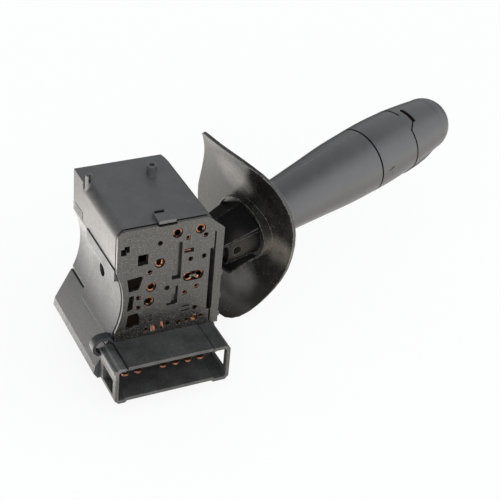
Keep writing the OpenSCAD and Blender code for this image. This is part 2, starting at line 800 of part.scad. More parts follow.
module yoke() color("#2b2c2d") placed() at_pivot() {
    difference() {
        union() {
            // Cheeks
            block([-cheek_half, front_cheek[0] - pivot_y, -bar_z[1]], [cheek_half,
                front_cheek[1] - pivot_y, bar_z[1]]);
            block([-bar_half, rear_cheek[0] - pivot_y, -bar_z[1]], [bar_half, rear_cheek[1] - pivot_y,
                bar_z[1]]);
            block([-drive_x - 2, front_cheek[0] - pivot_y, -2.2], [-6, front_cheek[1] - pivot_y, 2.2]);
            for (side = [-1, 1])
                block([-bar_half, front_cheek[0] - pivot_y, side > 0 ? bar_z[0] : -bar_z[1]],
                    [bar_half, rear_cheek[1] - pivot_y, side > 0 ? bar_z[1] : -bar_z[0]]);
            // Journals
            rod_y(0, 0, journal_r, ring_y[0] - pivot_y, front_cheek[1] - pivot_y);
            rod_y(0, 0, rear_pin_r, rear_cheek[1] - pivot_y - TINY, rear_y[1] - pivot_y);
            // Finger that drives the indicator slider
            rod_y(-drive_x, 0, drive_r, slider_y[0] + 0.1 - pivot_y, front_cheek[1] - pivot_y);
        }
        rod_y(0, 0, journal_bore, ring_y[0] - 1 - pivot_y, front_cheek[1] + 0.5 - pivot_y);
        translate([0, 0, -bar_z[1] - 1])
            cylinder(r = trunnion_r + run_gap, h = 2 * bar_z[1] + 2);
    }
}

// Stalk arm: pivots in the yoke, carries the neck, the shield and the handle

plunger_r = 2;
plunger_tip = 16;
arm_end = 12;
root_s = 19.5;
neck_s = 21.5;
neck_taper = 0.785;
seat_r = 9.5;
spigot_r = 7;
spigot_end = 72;
arm_bore = 2.8;

// Neck: six flats above, round below, with a shoulder between them
collar_s = shield_s - 3.9;
collar_groove = 1;
neck_end = collar_s + collar_groove;
flat_ratio = cos(30);
ledge_h = 0.34 * neck_r;
waist_r = 6.6;
waist_end = neck_s + 5.6;
wing_reach = 12.1;
wing_z = -6;
module neck() {
    intersection() {
        hull() {
            translate([neck_s, 0, 0])
                rotate([0, 90, 0])
                    cylinder(r = neck_r * neck_taper, h = TINY, $fn = 6);
            translate([neck_end - TINY, 0, 0])
                rotate([0, 90, 0])
                    cylinder(r = neck_r, h = TINY, $fn = 6);
        }
        block([0, -20, ledge_h], [80, 20, 20]);
    }
    difference() {
        translate([neck_s, 0, 0])
            rotate([0, 90, 0])
                cylinder(r1 = neck_r * neck_taper * flat_ratio - 0.1, r2 = neck_r * flat_ratio - 0.1,
                    h = neck_end - neck_s);
        // Waist below the flats, next to the housing
        difference() {
            block([neck_s + 0.5, -20, -20], [waist_end, 20, ledge_h]);
            rod_x(waist_r, neck_s, waist_end + 1);
        }
    }
}

module stalk_arm() color("#161718") placed() {
    difference() {
        union() {
            at_pivot() {
                translate([0, 0, -boss_h])
                    cylinder(r = boss_r, h = 2 * boss_h);
                translate([0, 0, -bar_z[1]])
                    cylinder(r = trunnion_r, h = 2 * bar_z[1]);
                // Detent arm towards the saddle
                block([-arm_end, -3, -3.2], [0, 3, 3.2]);
                // Ball finger that drives the beam slider
                rod_y(0, 0, 1.1, -beam_peg_l, 0);
                translate([0, -beam_peg_l, 0])
                    sphere(r = ball_r, $fn = 32);
            }
            on_stalk() {
                rod_x(boss_r, 0, neck_s + 1);
                translate([root_s, 0, 0])
                    rotate([0, 90, 0])
                        cylinder(r1 = 6.2, r2 = neck_r * neck_taper * flat_ratio,
                            h = neck_s - root_s + TINY);
                neck();
                rod_x(seat_r, shield_s - 4, shield_s + shield_t + 0.5);
                rod_x(spigot_r, shield_s, spigot_end);
                // Flat wing beside the neck's round underside
                block([neck_s + 3.1, -wing_reach, wing_z - 0.8], [neck_s + 17.9, -4, wing_z]);
            }
        }
        on_stalk() {
            rod_x(arm_bore, boss_r + 1, spigot_end + 1);
            // Hole in the neck's side
            translate([31, 0, 0])
                rotate([90, 0, 0])
                    cylinder(r = 1.9, h = 20);
        }
        at_pivot()
            rod_x(plunger_r + run_gap, -arm_end - 1, -5);
    }
}

// Detent

module detent_plunger() color("#e4e0d2") placed() at_pivot() {
    rod_x(plunger_r, -plunger_tip + plunger_r, -9.2);
    translate([-plunger_tip + plunger_r, 0, 0])
        sphere(r = plunger_r, $fn = 48);
}

module detent_spring() color("#a9adb0") placed() at_pivot() {
    translate([-8.35, 0, 0])
        coil(1.45, 0.28, 3.25, 5);
}

cam_y = [ring_y[1] + 0.02, 18];
cam_right = 11;
module detent_cam() color("#e4e0d2") placed() {
    difference() {
        block([4, cam_y[0], pivot_z - 7.5], [cam_right, cam_y[1], pivot_z + 7.5]);
        saddle_cut(wall + 0.02, 0, body_d);
        at_pivot() {
            sphere(r = plunger_tip + 0.15, $fn = 96);
            for (a = [-indicator_deg, 0, indicator_deg])
                rotate([0, a, 0])
                    translate([-plunger_tip + 1.3, 0, 0])
                        rod_y(0, 0, 1.8, -9, 9);
        }
    }
}

// Self-cancelling finger

module cancel_finger() color("#e4e0d2") placed() {
    difference() {
        union() {
            rod_y(cancel_x, cancel_z, cancel_pin_r + 2, rear_y[1] + 4.5, cavity_back - 0.4);
            block([cancel_x - cancel_arm, cavity_back - 6.4, cancel_z - 1.8],
                [cancel_x, cavity_back - 0.4, cancel_z + 1.8]);
            rod_y(cancel_x - cancel_arm, cancel_z, finger_r, cavity_back - 6.4, body_d + finger_out);
        }
        rod_y(cancel_x, cancel_z, cancel_pin_r + run_gap, rear_y[1], body_d);
    }
}

module cancel_pin() color("#c0c2c4") placed() {
    rod_y(cancel_x, cancel_z, cancel_pin_r, rear_y[0] + 1, body_d - 0.8);
}

// Leaf shield

leaf_points = [[-11.5, 43.3], [-4, 41.6], [8, 39], [18.4, 33], [23.6, 21], [24.7, 7], [21.4, -12],
    [14.1, -28],
    [5.4, -39.9], [-5, -43.6], [-18, -38.5], [-31, -23], [-34.9, -5], [-31.2, 8], [-21.2, 28], [-15, 39.5]];

module leaf_shield() color("#2a2b2c") placed() on_stalk() {
    axis_s = shield_s - shield_r;
    far = shield_r + shield_flare_r;
    difference() {
        union() {
            intersection() {
                translate([axis_s, 0, 0])
                    rotate([90, 0, 0])
                        rotate_extrude(angle = 80, start = -40, $fn = 180)
                            intersection() {
                                difference() {
                                    translate([far, 0])
                                        circle(r = shield_flare_r, $fn = 400);
                                    translate([far, 0])
                                        circle(r = shield_flare_r - shield_t, $fn = 400);
                                }
                                translate([shield_r - 2, -45])
                                    square([12, 90]);
                            }
                translate([shield_s - 30, 0, 0])
                    rotate([90, 0, 90])
                        linear_extrude(50)
                            polygon([for (p = closed_curve(leaf_points, 3)) [-p[0], p[1]]]);
            }
            rod_x(collar_r, collar_s, shield_s + shield_t - 0.3);
        }
        rod_x(collar_r - 0.6, collar_s - 1, neck_end);
        rod_x(seat_r + 0.05, shield_s - 5, shield_s + 10);
    }
}

// Handle, light sleeve and horn cap share one outline

grip = [[47, 10.4], [63, 11.2], [79.4, 12.5], [95, 13.8], [109.4, 14.3], [119.4, 14.4], [131.4, 13.8],
    [139.4, 13],
    [147, 12], [152, 11.3]];
function grip_r(s) = grip_scale * smooth(grip, s);

module grip_body(from, to, step) {
    count = ceil((to - from) / step);
    rotate([90, 0, 90])
        rotate_extrude()
            rotate(90)
                polygon(concat([[from, 0]],
                    [for (k = [0:count]) let (s = from + (to - from) * k / count) [s, -grip_r(s)]],
                        [[to, 0]]));
}

nose_r = 10.5;
nose_end = sleeve_s + 14.6;
handle_s = shield_s + shield_t + 0.7;
seam_gap = 0.45;
chamber_r = 8.6;
chamber_end = sleeve_s + 7.1;
detent_s = sleeve_s + 10.6;
detent_floor = 4.6;
detent_ball_r = 1.5;

module stalk_handle() color("#54565a") placed() on_stalk() {
    difference() {
        union() {
            grip_body(handle_s, sleeve_s - seam_gap, 4.5);
            rod_x(nose_r, sleeve_s - 2, nose_end);
        }
        rod_x(spigot_r + 0.02, handle_s - 1, spigot_end + 0.5);
        rod_x(chamber_r, spigot_end, chamber_end);
        rod_x(stem_r + 0.5, chamber_end - 1, nose_end + 1);
        // Bore for the detent ball and its spring
        translate([detent_s, 0, detent_floor])
            cylinder(r = detent_ball_r + 0.06, h = 20);
    }
}

// Key on the sleeve, seen from above: its sides run askew to the stalk
key_l = 2.9;
key_turn = 20;
key_root = [-4.7, 3.1];
key_end = [-2.3, 5.2];
cap_gap = horn_travel + 0.1;
module key_outline(grow, from, to) {
    lean = (key_end - key_root) / key_l;
    polygon([[from, key_root[0] + lean[0] * (from - cap_s) - grow[0]], [to,
        key_root[0] + lean[0] * (to - cap_s) - grow[0]],
        [to, key_root[1] + lean[1] * (to - cap_s) + grow[1]], [from,
            key_root[1] + lean[1] * (from - cap_s) + grow[1]]]);
}

// Low ridge along the sleeve and the cap
ridge_turn = 132;
ridge_w = 3;
module ridge(from, to) {
    intersection() {
        rotate([ridge_turn, 0, 0])
            rotate([90, 0, 0])
                linear_extrude(ridge_w, center = true)
                    polygon([[126.6, 13.4], [128, 14.4], [134, 14.1], [139.5, 13.5], [143, 12.8], [148,
                        11.4],
                        [148, 10], [127, 10]]);
        difference() {
            rod_x(20, from, to);
            rod_x(nose_r + 0.5, from - 1, to + 1);
        }
    }
}

web_s = sleeve_s + 16.6;
cap_spigot_r = 8.4;
mark_s = 115.6;
mark_r = 1.3;
mark_out = 14.7;
cap_floor_s = cap_s + 20.6;
stem_s = cap_s + 2.4;

module light_sleeve() color("#54565a") placed() on_stalk() {
    difference() {
        union() {
            grip_body(sleeve_s, cap_s - cap_gap, 4);
            ridge(126, cap_s - cap_gap);
            rod_x(cap_spigot_r, cap_s - 2, cap_s + 9);
            // Key that turns the horn cap
            intersection() {
                grip_body(cap_s - 1.5, cap_s + key_l, 1.5);
                rotate([key_turn, 0, 0])
                    linear_extrude(20)
                        key_outline([0, 0], cap_s - 1, cap_s + key_l + 1);
            }
            // Raised drop-shaped mark
            rotate([90, 0, 0])
                linear_extrude(mark_out) {
                    translate([mark_s, 0])
                        circle(r = mark_r);
                    polygon([[mark_s - 2.7, 0.4], [mark_s, -mark_r], [mark_s, mark_r]]);
                }
        }
        rod_x(nose_r + run_gap, sleeve_s - 1, nose_end + 0.4);
        rod_x(cap_spigot_r - 1.8, web_s + 2.5, cap_s + 12);
        rod_x(stem_r + 0.1, web_s - 3, web_s + 5);
        // Detent grooves inside, 25 degrees apart
        for (a = [0, -25, -50])
            rotate([a, 0, 0])
                translate([detent_s - 2.5, 0, nose_r + 0.2])
                    rod_x(0.9, 0, 6);
    }
}

// Rounded end of the horn cap
dome_s = cap_s + 17.6;
key_gap = 1.3;
module dome() {
    count = 12;
    reach = stalk_l - dome_s;
    rotate([90, 0, 90])
        rotate_extrude()
            rotate(90)
                polygon(concat([[dome_s - TINY, 0]],
                    [for (k = [0:count - 1]) let (a = 90 * k / count)
                        [dome_s - TINY + reach * sin(a), -grip_r(dome_s) * cos(a)]],
                    [[stalk_l - TINY, 0]]));
}

module horn_cap() color("#54565a") placed() on_stalk() {
    difference() {
        union() {
            grip_body(cap_s, dome_s, 3);
            dome();
            ridge(cap_s, 149);
        }
        rod_x(cap_spigot_r + run_gap, cap_s - 1, cap_s + 10.4);
        rod_x(cap_spigot_r - 1.5, cap_s + 10, cap_floor_s);
        // Notch for the sleeve's key, wide enough on one side for the press
        rotate([key_turn, 0, 0])
            translate([0, 0, cap_spigot_r - 3])
                linear_extrude(20)
                    key_outline([horn_travel, run_gap], cap_s - 1, cap_s + key_l + key_gap);
    }
    // Stem that presses the horn contact
    rod_x(2.2, stem_s, cap_floor_s + 0.5);
}

module horn_spring() color("#a9adb0") placed() on_stalk() {
    translate([web_s + 2.55, 0, 0])
        coil(5.2, 0.4, cap_floor_s - web_s - 2.6 - horn_travel, 7);
}

module horn_contact() color("#c8825f") placed() on_stalk() {
    rod_x(4, web_s + 2.52, web_s + 3.1);
    rod_x(1.4, web_s + 3, stem_s - horn_travel - 0.05);
}

// Light switch inside the stalk's nose

disc_s = sleeve_s + 1.6;
disc_t = 1.6;
rotor_s = disc_s + disc_t + 0.8;
rotor_t = 2;
rotor_r = chamber_r - 1;
stem_r = 2.5;
bridge_w = 1.4;
module light_contact_disc() color("#b79a5a") placed() on_stalk() {
    rod_x(chamber_r - 0.02, disc_s, disc_s + disc_t);
}

module light_rotor() color("#e4e0d2") placed() on_stalk() {
    rod_x(rotor_r, rotor_s, rotor_s + rotor_t);
    rod_x(stem_r, rotor_s + rotor_t - 0.1, web_s + 2.4);
}

module rotor_bridges() color("#c8825f") placed() on_stalk() {
    for (a = [0, 120, 240])
        rotate([a, 0, 0])
            block([disc_s + disc_t + 0.05, -bridge_w / 2, rotor_r / 2 - 0.4], [rotor_s - 0.02,
                bridge_w / 2, rotor_r - 1]);
}

module sleeve_detent_ball() color("#c0c2c4") placed() on_stalk() {
    translate([detent_s, 0, nose_r - detent_ball_r])
        sphere(r = detent_ball_r, $fn = 48);
}

module sleeve_detent_spring() color("#a9adb0") placed() on_stalk() {
    translate([detent_s, 0, detent_floor + 0.02])
        rotate([0, -90, 0])
            coil(1.1, 0.2, nose_r - 2 * detent_ball_r - detent_floor - 0.04, 4);
}

base_housing();
top_cover();
contact_plate();
terminal_blades();
contact_tracks();
contact_rivets();
connector_shroud();
indicator_slider();
indicator_bridges();
beam_slider();
beam_bridge();
yoke();
stalk_arm();
detent_plunger();
detent_spring();
detent_cam();
cancel_finger();
cancel_pin();
leaf_shield();
stalk_handle();
light_sleeve();
horn_cap();
horn_spring();
horn_contact();
light_contact_disc();
light_rotor();
rotor_bridges();
sleeve_detent_ball();
sleeve_detent_spring();
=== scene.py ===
import math
import bmesh
import bpy
from mathutils import Matrix, Vector


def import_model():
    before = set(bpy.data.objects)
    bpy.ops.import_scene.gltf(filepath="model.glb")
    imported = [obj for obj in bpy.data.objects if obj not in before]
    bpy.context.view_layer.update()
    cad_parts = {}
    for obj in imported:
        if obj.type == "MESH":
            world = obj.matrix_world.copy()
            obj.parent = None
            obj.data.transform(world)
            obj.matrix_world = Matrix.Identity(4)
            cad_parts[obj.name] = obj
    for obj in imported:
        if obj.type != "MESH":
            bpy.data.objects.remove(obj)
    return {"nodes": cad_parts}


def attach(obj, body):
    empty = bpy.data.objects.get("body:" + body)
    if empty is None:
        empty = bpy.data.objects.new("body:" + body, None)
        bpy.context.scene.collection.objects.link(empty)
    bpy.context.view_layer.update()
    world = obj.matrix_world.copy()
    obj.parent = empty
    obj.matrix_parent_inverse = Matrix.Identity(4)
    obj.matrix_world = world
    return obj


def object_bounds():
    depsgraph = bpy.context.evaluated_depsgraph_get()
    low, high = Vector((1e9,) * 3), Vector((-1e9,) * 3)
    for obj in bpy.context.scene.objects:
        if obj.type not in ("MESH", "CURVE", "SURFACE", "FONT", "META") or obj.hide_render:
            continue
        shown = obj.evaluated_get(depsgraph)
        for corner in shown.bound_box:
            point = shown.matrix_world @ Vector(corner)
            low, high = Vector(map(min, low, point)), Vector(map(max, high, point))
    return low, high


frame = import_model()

cad_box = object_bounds()

scene = bpy.context.scene
scene.view_settings.view_transform = "Standard"

MM = 0.001
FLOOR_Z = cad_box[0][2] - 0.0001
FLOOR_HALF = 1.2

# Camera, solved from the housing's straight edges

CAMERA_AT = (-0.1837, -0.4251, 0.2814)
CAMERA_RIGHT = (0.90178, -0.42457, 0.08078)
CAMERA_UP = (0.17899, 0.53700, 0.82437)
CAMERA_LENS = 101.9

# Light: the room's even light and its glows as direction, ramp and strength, then the light table's

ROOM_ALL = 0.22
ROOM_GLOWS = (
    ((-0.15, -0.93, 0.30), 0.0, 0.95, 1.3),
    ((0.39, 0.66, 0.64), 0.70, 0.97, 0.75),
    ((0.90, -0.38, 0.20), 0.55, 0.97, 1.25),
)
TABLE_ALL = 1.1
TABLE_FAR = 0.2
TABLE_LEFT = 3.6
TABLE_FRONT = 1.05
SHADE_AT = (0.036, -0.008, FLOOR_Z)

# Housing, in millimetres from its front left corner at the cover's top

HOUSING_ORIGIN = (26.8, 34.7)
COVER_ROUND = 4
COVER_SKIRT = -16.3
COVER_SHOULDER = 35.5
RIM_OUTER = -0.012
RIM_INNER = 1.2
RIM_FRONT = 1.24
RIM_BACK = 2.05
TAB_TOP = 1.5
TAB_SLOT_SHADE = ((16.5, 6.1), (20.4, 6.1), (20.4, 7.17), (16.5, 7.17))

# Neck's hole in metres, with its axis in the plan and its radius in millimetres

NECK_HOLE = (0.02837, -0.01608, -0.02932)
NECK_HOLE_AXIS = (0.299, -0.9542, 0)
NECK_HOLE_ACROSS = (0.9542, 0.299, 0)
NECK_HOLE_RADIUS = 1.86

# Lever, in millimetres from its pivot and degrees round it: GRIP gives its radius at distances, and each
# STRIP spans the gap where it paints shade

PIVOT = (24, 15.2, -33.1)
LEVER_YAW = 17.4
LEVER_PITCH = 7
GRIP = ((47, 10.4), (63, 11.2), (79.4, 12.5), (95, 13.8), (109.4, 14.3), (119.4, 14.4), (131.4, 13.8),
        (139.4, 13))
HANDLE_STRIP = (108.85, 109.6)
CAP_STRIP = (130.75, 131.35)
KEY_END_STRIP = (134.36, 135.9)
LINE_START = 49.5
LINE_END = 108.6
LINE_NEAR = 101
LINE_FAR = 93
KEY_START = 131.4
KEY_LENGTH = 2.9
KEY_TURN = 70
KEY_RADIUS = 13.7
KEY_ROOT = 4.7
KEY_END = 2.3
KEY_SIDE_START = 131.3
KEY_SIDE_LENGTH = 3.6
KEY_SIDE_TURNS = (-2.8, 0.1)
MARK_S = 115.6
SLEEVE_RADIUS = 14.4


def camera():
    cam = bpy.data.cameras.new("photo_camera")
    cam.sensor_width = 36.0
    cam.lens = CAMERA_LENS
    cam.clip_start = 0.01
    obj = bpy.data.objects.new("photo_camera", cam)
    bpy.context.collection.objects.link(obj)
    right = Vector(CAMERA_RIGHT)
    up = Vector(CAMERA_UP)
    m = Matrix((right, up, right.cross(up))).transposed().to_4x4()
    m.translation = Vector(CAMERA_AT)
    obj.matrix_world = m
    scene.camera = obj


camera()


# Node helpers

class Nodes:
    """A node tree under construction."""

    def __init__(self, tree):
        self.tree = tree
        tree.nodes.clear()

    def add(self, kind, **values):
        node = self.tree.nodes.new(kind)
        for key, value in values.items():
            setattr(node, key, value)
        return node

    def link(self, a, b):
        self.tree.links.new(a, b)

    def put(self, socket, value):
        if isinstance(value, bpy.types.NodeSocket):
            self.link(value, socket)
        elif value is not None:
            socket.default_value = value

    def math(self, operation, a, b, clamp=False):
        node = self.add("ShaderNodeMath", operation=operation, use_clamp=clamp)
        self.put(node.inputs[0], a)
        self.put(node.inputs[1], b)
        return node.outputs[0]

    def vector_math(self, operation, a, b):
        node = self.add("ShaderNodeVectorMath", operation=operation)
        self.put(node.inputs[0], a)
        self.put(node.inputs[1], b)
        return node.outputs["Value"]

    def dot(self, a, b):
        return self.vector_math("DOT_PRODUCT", a, b)

    def distance(self, a, b):
        return self.vector_math("DISTANCE", a, b)

    def ramp(self, value, low, high, to_low=0.0, to_high=1.0):
        node = self.add("ShaderNodeMapRange", interpolation_type="SMOOTHSTEP")
        self.put(node.inputs["Value"], value)
        for name, v in (("From Min", low), ("From Max", high), ("To Min", to_low), ("To Max", to_high)):
            self.put(node.inputs[name], v)
        return node.outputs["Result"]

    def noise(self, scale, detail, rough, coords):
        node = self.add("ShaderNodeTexNoise")
        node.inputs["Scale"].default_value = scale
        node.inputs["Detail"].default_value = detail
        node.inputs["Roughness"].default_value = rough
        self.link(coords, node.inputs["Vector"])
        return node.outputs["Fac"]

    def specks(self, scale, size, coords):
        node = self.add("ShaderNodeTexVoronoi")
        node.inputs["Scale"].default_value = scale
        self.link(coords, node.inputs["Vector"])
        return self.ramp(node.outputs["Distance"], size * 0.6, size, 1.0, 0.0)

    def mix(self, fac, a, b):
        node = self.add("ShaderNodeMix", data_type="RGBA")
        self.put(node.inputs["Factor"], fac)
        self.put(node.inputs[6], a)
        self.put(node.inputs[7], b)
        return node.outputs[2]

    def mix_shader(self, fac, a, b):
        node = self.add("ShaderNodeMixShader")
        self.put(node.inputs[0], fac)
        self.link(a, node.inputs[1])
        self.link(b, node.inputs[2])
        return node.outputs[0]

    def rounded(self, radius_mm):
        node = self.add("ShaderNodeBevel", samples=4)
        node.inputs["Radius"].default_value = radius_mm * MM
        return node.outputs[0]

    def bump(self, height, distance, strength, normal):
        node = self.add("ShaderNodeBump")
        node.inputs["Strength"].default_value = strength
        node.inputs["Distance"].default_value = distance
        self.link(height, node.inputs["Height"])
        self.link(normal, node.inputs["Normal"])
        return node.outputs["Normal"]


def rgb(r, g, b):
    """A colour given in photograph values from 0 to 255."""
    def lin(v):
        v = v / 255
        return v / 12.92 if v <= 0.04045 else ((v + 0.055) / 1.055) ** 2.4
    return (lin(r), lin(g), lin(b), 1.0)


def scaled(colour, k):
    return (colour[0] * k, colour[1] * k, colour[2] * k, 1.0)


# Surfaces

DUST = rgb(150, 147, 142)
NEAR_BLACK = (0.012, 0.008, 0.006, 1)


def surface(name):
    """A new material: its node tree, its shader and its object coordinates."""
    mat = bpy.data.materials.new(name)
    mat.use_nodes = True
    n = Nodes(mat.node_tree)
    out = n.add("ShaderNodeOutputMaterial")
    shader = n.add("ShaderNodeBsdfPrincipled")
    n.link(shader.outputs[0], out.inputs["Surface"])
    return mat, n, shader, n.add("ShaderNodeTexCoord").outputs["Object"]


def streaked(n, coords, tone, amount, colour):
    """Fine pale lines along X."""
    along = n.add("ShaderNodeMapping")
    along.inputs["Scale"].default_value = (1.0, 9.0, 9.0)
    n.link(coords, along.inputs["Vector"])
    lines = n.ramp(n.noise(70, 6, 0.7, along.outputs[0]), 0.55, 0.75, 0.0, amount)
    return n.mix(lines, tone, colour)


def plastic(name, colour, rough, grain=2600, grain_depth=0.02, mottle=0.25, wear_and_edge_glint=0.35, dust=0.3,
            round_mm=0.18, specular=0.5, streak=0.0, wear_and_edge_glint_colour=None, pores=0.22, pore_light=None,
            fade=None, painted_sheens=(), ior=1.45):
    """Moulded plastic: grained, mottled, dusted, and lighter on its edges, partly from rubbed wear and partly
    as a painted edge highlight.

    fade is a ramp of the roughness over the height; the pale patches, given as centre, reach and colour, are
    painted highlights and reflections.
    """
    mat, n, shader, coords = surface(name)
    cloud = n.noise(110, 4, 0.6, coords)
    patch = n.noise(520, 5, 0.65, coords)
    fine = n.noise(grain, 2, 0.6, coords)
    bevel = n.rounded(round_mm)
    true_normal = n.add("ShaderNodeNewGeometry").outputs["Normal"]
    edge = n.ramp(n.dot(n.rounded(2.2 * round_mm), true_normal), 0.995, 0.9)
    worn_and_lit_edge = n.math("MULTIPLY", edge, n.ramp(patch, 0.36, 0.62), clamp=True)
    speck = n.math("MULTIPLY", n.specks(900, 0.16, coords), n.ramp(cloud, 0.42, 0.62), clamp=True)
    tone = n.mix(n.ramp(cloud, 0.3, 0.7), scaled(colour, 1 - mottle), scaled(colour, 1 + mottle))
    tone = n.mix(n.ramp(patch, 0.35, 0.75, 0.0, 0.5), tone, scaled(colour, 1 + 1.2 * mottle))
    tone = n.mix(n.ramp(fine, 0.46, 0.30, 0.0, pores), tone, scaled(colour, 0.3))
    tone = n.mix(n.ramp(fine, 0.54, 0.70, 0.0, pores), tone, pore_light or scaled(colour, 2.6))
    # Painted highlights and reflections: pale patches that stand in for light falling on or mirrored in the
    # surface.
    for centre, reach, painted_sheen in painted_sheens:
        near = n.ramp(n.distance(coords, centre), reach * 0.3, reach, 1.0, 0.0)
        tone = n.mix(n.math("MULTIPLY", near, n.ramp(cloud, 0.25, 0.65, 0.5, 1.0)), tone, painted_sheen)
    # Lighter edges: partly rubbed wear, partly a painted highlight along the rounded edges.
    tone = n.mix(n.math("MULTIPLY", worn_and_lit_edge, wear_and_edge_glint), tone, wear_and_edge_glint_colour or scaled(colour, 4.2))
    tone = n.mix(n.math("MULTIPLY", speck, dust), tone, DUST)
    if streak:
        tone = streaked(n, coords, tone, streak, scaled(colour, 2.4))
    n.link(tone, shader.inputs["Base Color"])
    gloss = n.ramp(cloud, 0.25, 0.75, rough - 0.05, rough + 0.05)
    gloss = n.math("ADD", gloss, n.ramp(patch, 0.3, 0.7, -0.04, 0.04))
    gloss = n.math("SUBTRACT", gloss, n.math("MULTIPLY", worn_and_lit_edge, 0.12), clamp=True)
    if fade:
        gloss = n.math("ADD", gloss, n.ramp(n.dot(coords, (0, 0, 1)), *fade), clamp=True)
    n.link(gloss, shader.inputs["Roughness"])
    shader.inputs["Specular IOR Level"].default_value = specular
    shader.inputs["IOR"].default_value = ior
    normal = n.bump(patch, 0.05 * MM, 0.35, bevel)
    normal = n.bump(fine, grain_depth * MM, 1.0, normal)
    n.link(normal, shader.inputs["Normal"])
    return mat


def metal(name, colour, rough, tarnish, dark_patches=0.0):
    """Stamped or turned metal with a dulled, uneven surface."""
    mat, n, shader, coords = surface(name)
    cloud = n.noise(900, 4, 0.6, coords)
    fine = n.noise(6000, 3, 0.6, coords)
    tone = n.mix(n.ramp(cloud, 0.35, 0.7), colour, tarnish)
    # Random near-black patches over part of the metal.
    if dark_patches:
        tone = n.mix(n.ramp(n.noise(430, 2, 0.5, coords), 0.46, 0.54, 0.0, dark_patches), tone, NEAR_BLACK)
    n.link(tone, shader.inputs["Base Color"])
    shader.inputs["Metallic"].default_value = 1.0
    n.link(n.ramp(cloud, 0.3, 0.7, rough - 0.08, rough + 0.12), shader.inputs["Roughness"])
    n.link(n.bump(fine, 0.01 * MM, 0.6, n.rounded(0.08)), shader.inputs["Normal"])
    return mat


cover_black = plastic("cover_plastic", (0.052, 0.052, 0.052, 1), 0.50, grain=2400, grain_depth=0.035,
                      dust=0.35, specular=0.54, wear_and_edge_glint=0.6, wear_and_edge_glint_colour=(0.2, 0.2, 0.2, 1))
base_black = plastic("base_plastic", (0.025, 0.0272, 0.0295, 1), 0.48, grain=1900, grain_depth=0.05,
                     dust=0.2, streak=0.25, specular=0.31, pores=0.5)
plate_black = plastic("plate_plastic", (0.0095, 0.0088, 0.0078, 1), 0.44, grain=1500, grain_depth=0.14,
                      mottle=0.5, dust=0.2, wear_and_edge_glint=0.5, pores=0.8, specular=0.8,
                      wear_and_edge_glint_colour=(0.10, 0.098, 0.09, 1), pore_light=(0.08, 0.077, 0.07, 1),
                      fade=(-0.028, -0.048, 0.0, -0.2))
# The connector's two pale patches are painted highlights.
plug_black = plastic("plug_plastic", (0.034, 0.034, 0.034, 1), 0.5, grain=2300, grain_depth=0.06,
                     mottle=0.35, dust=0.4, pores=0.35,
                     painted_sheens=[((-0.0330, -0.0415, -0.0495), 0.0055, (0.10, 0.102, 0.10, 1)),
                            ((-0.0325, -0.0480, -0.0495), 0.0065, (0.10, 0.102, 0.10, 1))])
# The neck's pale patch is a painted highlight on its lower round side; its light edges are partly painted
# highlight.
neck_black = plastic("neck_plastic", (0.0065, 0.0065, 0.0065, 1), 0.37, grain=3200, grain_depth=0.005,
                     mottle=0.2, dust=0.1, wear_and_edge_glint=0.6, specular=0.12, wear_and_edge_glint_colour=(0.2, 0.2, 0.2, 1),
                     pores=0.1, round_mm=0.3, ior=1.15,
                     painted_sheens=[((0.031, -0.0188, -0.0284), 0.009, (0.034, 0.031, 0.027, 1))])
# The shield's three pale patches are painted reflections and highlights; its light edges are partly painted
# highlight.
leaf_black = plastic("shield_plastic", (0.007, 0.0067, 0.0063, 1), 0.27, grain=3000, grain_depth=0.004,
                     mottle=0.25, dust=0.8, wear_and_edge_glint=0.9, specular=0.6, wear_and_edge_glint_colour=(0.25, 0.24, 0.22, 1),
                     pores=0.0, fade=(-0.045, -0.06, 0.0, 0.25),
                     painted_sheens=[((0.0465, -0.0225, -0.0315), 0.0095, (0.10, 0.091, 0.078, 1)),
                            ((0.0388, -0.0052, -0.0525), 0.0120, (0.15, 0.15, 0.146, 1)),
                            ((0.0320, -0.0045, -0.0040), 0.0128, (0.25, 0.238, 0.218, 1))])
grip_black = plastic("handle_plastic", (0.035, 0.0362, 0.039, 1), 0.37, grain=2800, grain_depth=0.03,
                     mottle=0.15, dust=0.12, wear_and_edge_glint=0.3, round_mm=0.25, pores=0.12, specular=0.85)
grip_line = plastic("handle_line", (0.10, 0.103, 0.11, 1), 0.5, grain=900, grain_depth=0.02, mottle=0.6,
                    dust=0.2)
mech_white = plastic("slider_plastic", rgb(214, 208, 190), 0.42, grain=2600, grain_depth=0.01,
                     mottle=0.06, wear_and_edge_glint=0.1, dust=0.0, wear_and_edge_glint_colour=rgb(235, 232, 220))
# Near-black material for sheets that paint shade into gaps, slots, holes, windows and beside the sleeve's
# mark.
shade_sheet = plastic("recess_shadow", (0.0028, 0.0017, 0.0009, 1), 0.7, grain=1500, grain_depth=0.05,
                 mottle=0.7, dust=0.0, wear_and_edge_glint=0.0, specular=0.03, wear_and_edge_glint_colour=(0.03, 0.02, 0.01, 1))
copper = metal("copper", (0.42, 0.215, 0.135, 1), 0.34, (0.20, 0.095, 0.06, 1))
rivet_copper = metal("rivet_copper", (0.27, 0.13, 0.078, 1), 0.38, (0.10, 0.05, 0.032, 1), dark_patches=0.98)
silver = metal("silver_contact", (0.15, 0.147, 0.14, 1), 0.5, (0.07, 0.065, 0.06, 1))
steel = metal("spring_steel", (0.55, 0.56, 0.58, 1), 0.25, (0.38, 0.38, 0.40, 1))
brass_board = metal("contact_disc_metal", (0.70, 0.55, 0.28, 1), 0.35, (0.45, 0.34, 0.16, 1))

